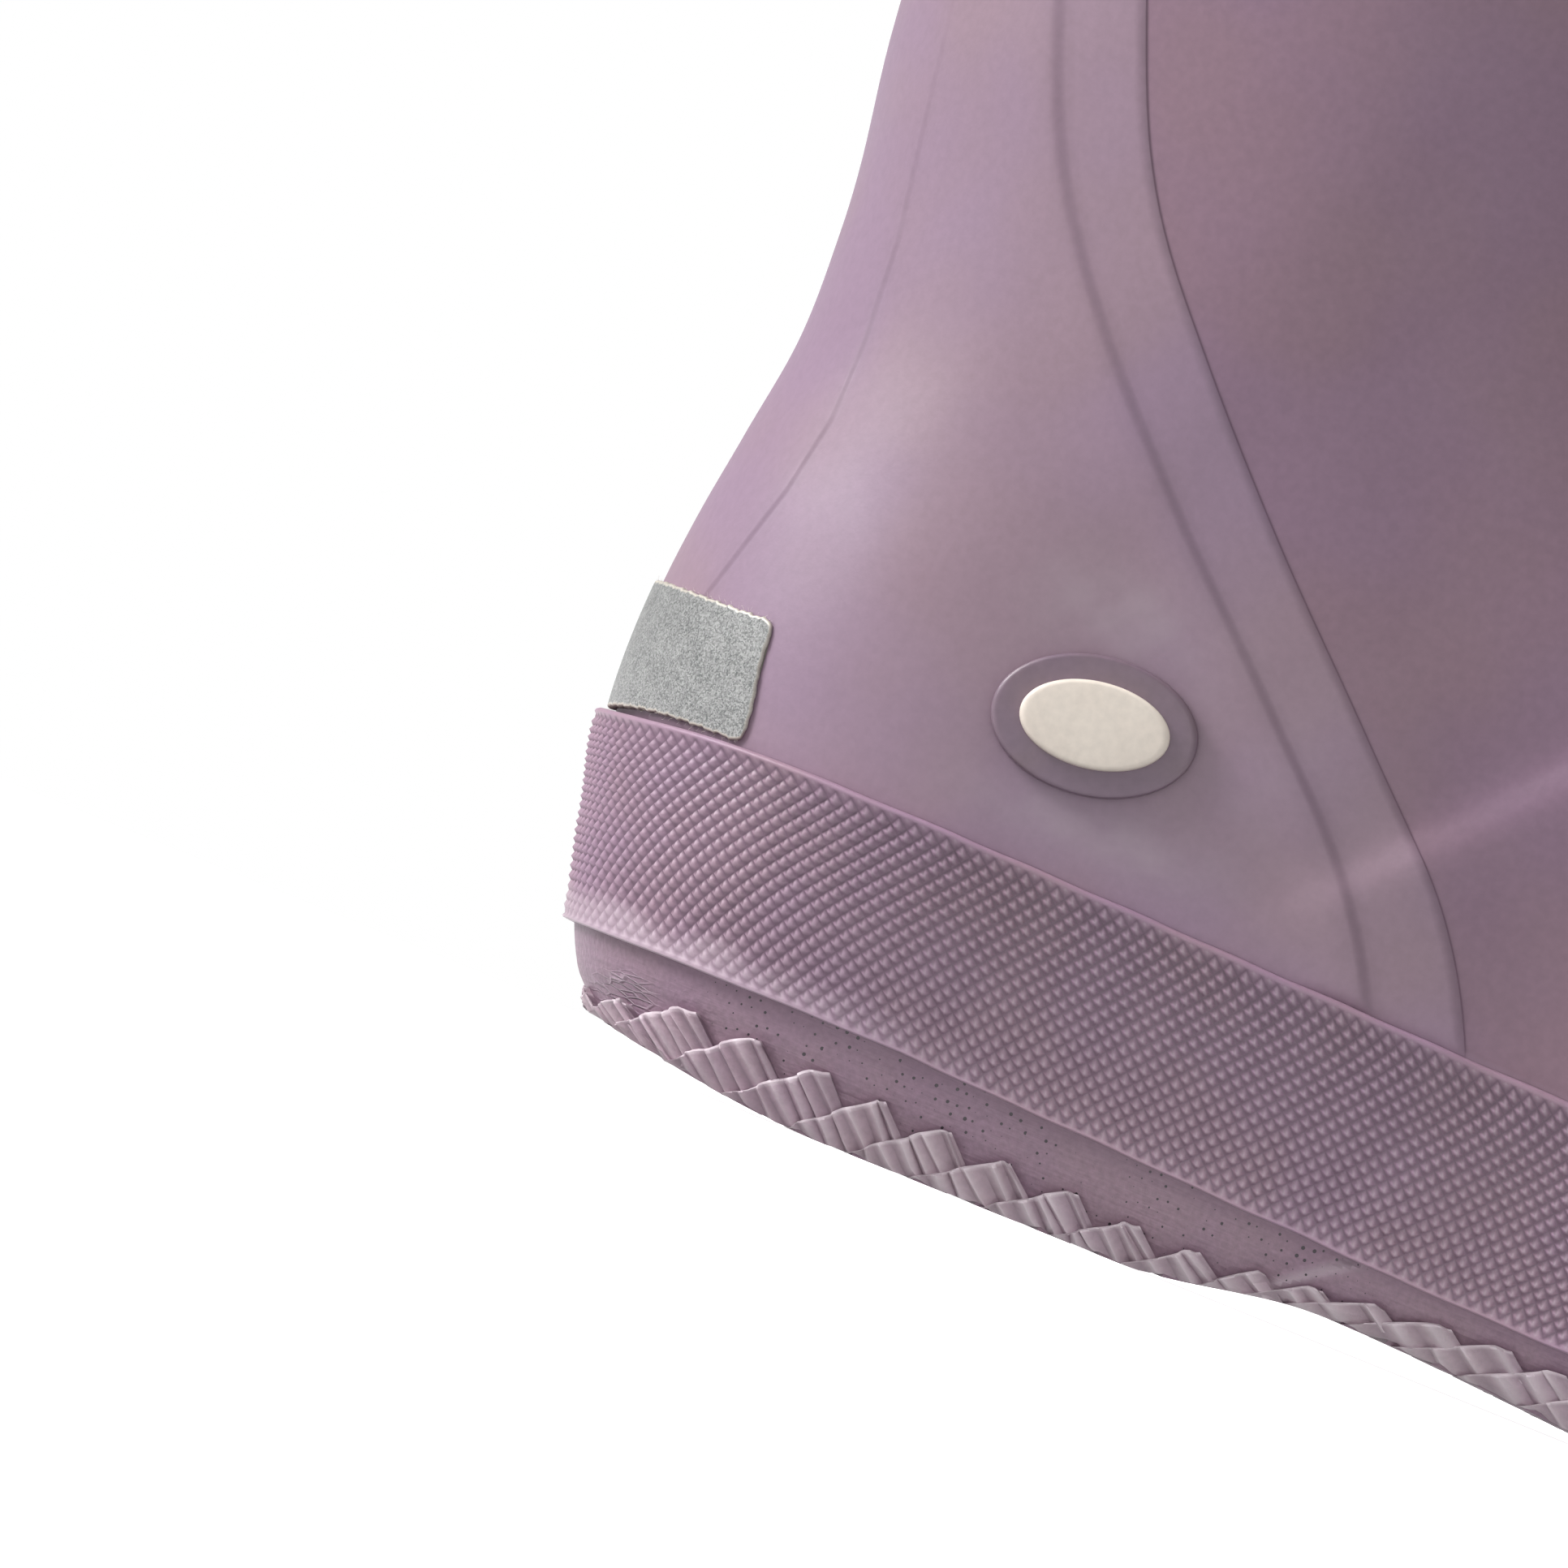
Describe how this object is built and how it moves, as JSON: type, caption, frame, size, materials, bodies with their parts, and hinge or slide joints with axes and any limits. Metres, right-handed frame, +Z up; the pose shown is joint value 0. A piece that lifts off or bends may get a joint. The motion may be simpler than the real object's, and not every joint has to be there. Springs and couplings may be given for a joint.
{
  "type": "kids rubber boot",
  "caption": "Right-foot pull-on rubber boot for a child: hollow upper with raised side strips, foxing band, treaded outsole, heel reflector and plain oval badge.",
  "frame": {"origin": "on the floor under the centre of the boot's box", "axes": "+X from heel to toe, +Y towards the inner side of the foot, +Z up"},
  "size_m": [0.1952, 0.0814, 0.1965],
  "materials": {
    "upper": "satin dusty mauve rubber",
    "foxing": "knurled dusty mauve rubber",
    "outsole": "matt moulded mauve rubber",
    "insole": "plain knit over foam",
    "heel_reflector": "silver-grey glass-bead fabric",
    "badge_plate": "smooth mauve rubber",
    "badge_inlay": "smooth cream rubber"
  },
  "bodies": {
    "root": {"upper": "upper", "foxing": "foxing", "outsole": "outsole", "insole": "insole", "heel_reflector": "heel_reflector", "badge_plate": "badge_plate", "badge_inlay": "badge_inlay"}
  },
  "joints": []
}
